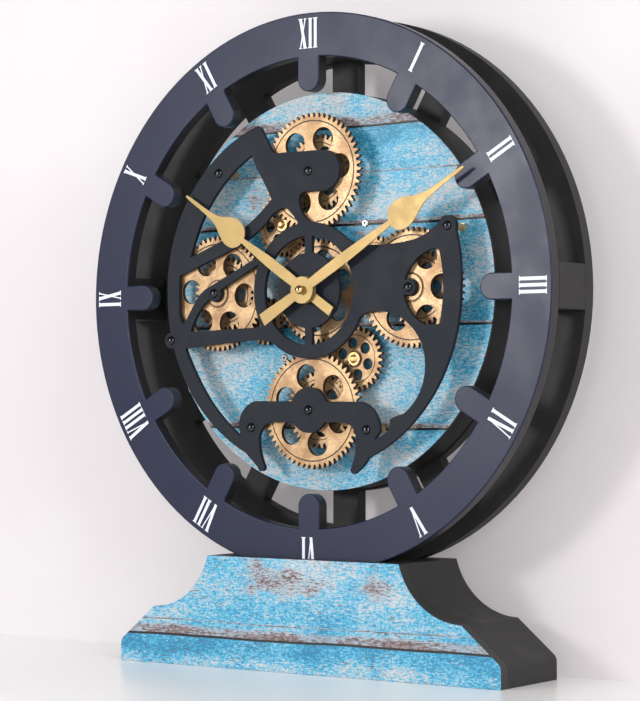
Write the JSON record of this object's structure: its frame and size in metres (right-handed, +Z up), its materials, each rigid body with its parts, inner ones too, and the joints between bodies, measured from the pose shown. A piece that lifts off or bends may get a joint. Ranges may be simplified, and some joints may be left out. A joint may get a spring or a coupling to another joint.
{
  "type": "table clock with gears",
  "caption": "Round table clock on a stepped wooden stand: tabbed numeral ring, open printed face, turning wooden gear train under a black bridge, leaf hands.",
  "frame": {"origin": "middle of the stand's underside, on the surface it stands on", "axes": "+Z up, -Y out of the dial towards the reader, +X to the reader's right"},
  "size_m": [0.356, 0.07, 0.419],
  "materials": {
    "printed_planks": "printed matt film on board",
    "stained_board": "black stained fibreboard, sawn edges",
    "dial_board": "slate blue satin paint",
    "numeral_ink": "pale screen print",
    "bridge_board": "black satin paint",
    "gear_plywood": "laser sawn, burnt edges, clear matt",
    "brass_bar": "turned, bright",
    "blacked_steel": "black oxide, satin",
    "nickel_plate": "nickel plated",
    "black_moulding": "fine spark texture",
    "works_moulding": "natural moulded",
    "sheet_iron": "punched",
    "motor_can": "zinc plated",
    "enamelled_wire": "enamelled copper winding",
    "circuit_laminate": "green solder mask",
    "cell_wrap": "plain sleeve",
    "gilt_aluminium": "champagne gold anodised"
  },
  "bodies": {
    "clock": {"stand_front_board": "printed_planks", "stand_core": "stained_board", "stand_rear_board": "stained_board", "stand_screws": "blacked_steel", "dial_ring": "dial_board", "dial_numerals": "numeral_ink", "rear_wheel": "stained_board", "spacer_blocks": "stained_board", "gear_axles": "brass_bar", "idler_posts": "brass_bar", "face_disc": "printed_planks", "drum_wall": "stained_board", "face_eyelets": "nickel_plate", "bridge_plate": "bridge_board", "bridge_standoffs": "brass_bar", "bridge_screws": "blacked_steel", "movement_case": "black_moulding", "movement_cover": "black_moulding", "bush_nuts": "brass_bar", "motor_stator": "sheet_iron", "motor_coil": "enamelled_wire", "movement_board": "circuit_laminate", "movement_cell": "cell_wrap", "movement_contacts": "nickel_plate", "gearbox_case": "black_moulding", "gearbox_lid": "black_moulding", "drive_motor": "motor_can", "cell_holder": "black_moulding", "drive_cells": "cell_wrap", "drive_contacts": "nickel_plate"},
    "centre_wheel": {"centre_gear": "gear_plywood"},
    "top_idler": {"top_idler_gear": "gear_plywood"},
    "top_pair": {"top_rear_gear": "gear_plywood", "top_front_gear": "gear_plywood", "top_gear_hub": "gear_plywood"},
    "left_idler": {"left_idler_gear": "gear_plywood"},
    "left_pair": {"left_rear_gear": "gear_plywood", "left_front_gear": "gear_plywood", "left_gear_hub": "gear_plywood"},
    "foot_idler": {"foot_idler_gear": "gear_plywood"},
    "foot_pair": {"foot_rear_gear": "gear_plywood", "foot_front_gear": "gear_plywood", "foot_gear_hub": "gear_plywood"},
    "right_idler": {"right_idler_gear": "gear_plywood"},
    "right_pair": {"right_rear_gear": "gear_plywood", "right_front_gear": "gear_plywood", "right_gear_hub": "gear_plywood"},
    "drive_shaft": {"drive_pinion": "works_moulding", "drive_wheel": "works_moulding"},
    "motor_shaft": {"motor_pinion": "works_moulding"},
    "minute_works": {"minute_hand": "gilt_aluminium", "hand_nut": "gilt_aluminium", "minute_arbor": "brass_bar"},
    "hour_works": {"hour_hand": "gilt_aluminium", "hour_wheel": "works_moulding"},
    "setting_works": {"works_wheel": "works_moulding", "set_knob": "black_moulding"},
    "switch": {"switch_knob": "black_moulding"}
  },
  "joints": [
    {"name": "centre_wheel_spin", "type": "hinge", "parent": "clock", "child": "centre_wheel", "pos_m": [0, 0, 0.2422], "axis": [0, 1, 0], "continuous": true},
    {"name": "top_idler_spin", "type": "hinge", "parent": "clock", "child": "top_idler", "pos_m": [-0.02828, 0, 0.28584], "axis": [0, 1, 0], "continuous": true},
    {"name": "top_pair_spin", "type": "hinge", "parent": "clock", "child": "top_pair", "pos_m": [0, 0, 0.3181], "axis": [0, 1, 0], "continuous": true},
    {"name": "left_idler_spin", "type": "hinge", "parent": "clock", "child": "left_idler", "pos_m": [-0.04301, 0, 0.22376], "axis": [0, 1, 0], "continuous": true},
    {"name": "left_pair_spin", "type": "hinge", "parent": "clock", "child": "left_pair", "pos_m": [-0.0759, 0, 0.2422], "axis": [0, 1, 0], "continuous": true},
    {"name": "foot_idler_spin", "type": "hinge", "parent": "clock", "child": "foot_idler", "pos_m": [0.02828, 0, 0.19856], "axis": [0, 1, 0], "continuous": true},
    {"name": "foot_pair_spin", "type": "hinge", "parent": "clock", "child": "foot_pair", "pos_m": [0, 0, 0.1663], "axis": [0, 1, 0], "continuous": true},
    {"name": "right_idler_spin", "type": "hinge", "parent": "clock", "child": "right_idler", "pos_m": [0.04301, 0, 0.26064], "axis": [0, 1, 0], "continuous": true},
    {"name": "right_pair_spin", "type": "hinge", "parent": "clock", "child": "right_pair", "pos_m": [0.0759, 0, 0.2422], "axis": [0, 1, 0], "continuous": true},
    {"name": "drive_shaft_spin", "type": "hinge", "parent": "clock", "child": "drive_shaft", "pos_m": [0.04069, 0, 0.23355], "axis": [0, 1, 0], "continuous": true},
    {"name": "motor_shaft_spin", "type": "hinge", "parent": "clock", "child": "motor_shaft", "pos_m": [0.044, 0, 0.22119], "axis": [0, 1, 0], "continuous": true},
    {"name": "minute_works_spin", "type": "hinge", "parent": "clock", "child": "minute_works", "pos_m": [0, 0, 0.2422], "axis": [0, 1, 0], "continuous": true},
    {"name": "hour_works_spin", "type": "hinge", "parent": "clock", "child": "hour_works", "pos_m": [0, 0, 0.2422], "axis": [0, 1, 0], "continuous": true},
    {"name": "setting_works_spin", "type": "hinge", "parent": "clock", "child": "setting_works", "pos_m": [-0.00905, 0, 0.25125], "axis": [0, 1, 0], "continuous": true},
    {"name": "switch_slide", "type": "slide", "parent": "clock", "child": "switch", "axis": [1, 0, 0], "range_m": [0, 0.004]}
  ],
  "couplings": [
    {"joint": "left_pair_spin", "follows": "top_pair_spin", "ratio": 1},
    {"joint": "foot_pair_spin", "follows": "top_pair_spin", "ratio": 1},
    {"joint": "right_pair_spin", "follows": "top_pair_spin", "ratio": 1},
    {"joint": "centre_wheel_spin", "follows": "top_pair_spin", "ratio": 0.72},
    {"joint": "top_idler_spin", "follows": "top_pair_spin", "ratio": -1.2},
    {"joint": "left_idler_spin", "follows": "top_pair_spin", "ratio": -1.6364},
    {"joint": "foot_idler_spin", "follows": "top_pair_spin", "ratio": -1.2},
    {"joint": "right_idler_spin", "follows": "top_pair_spin", "ratio": -1.6364},
    {"joint": "drive_shaft_spin", "follows": "top_pair_spin", "ratio": -2.5714},
    {"joint": "motor_shaft_spin", "follows": "top_pair_spin", "ratio": 7.7143},
    {"joint": "hour_works_spin", "follows": "minute_works_spin", "ratio": 0.083333},
    {"joint": "setting_works_spin", "follows": "minute_works_spin", "ratio": -0.33333}
  ]
}
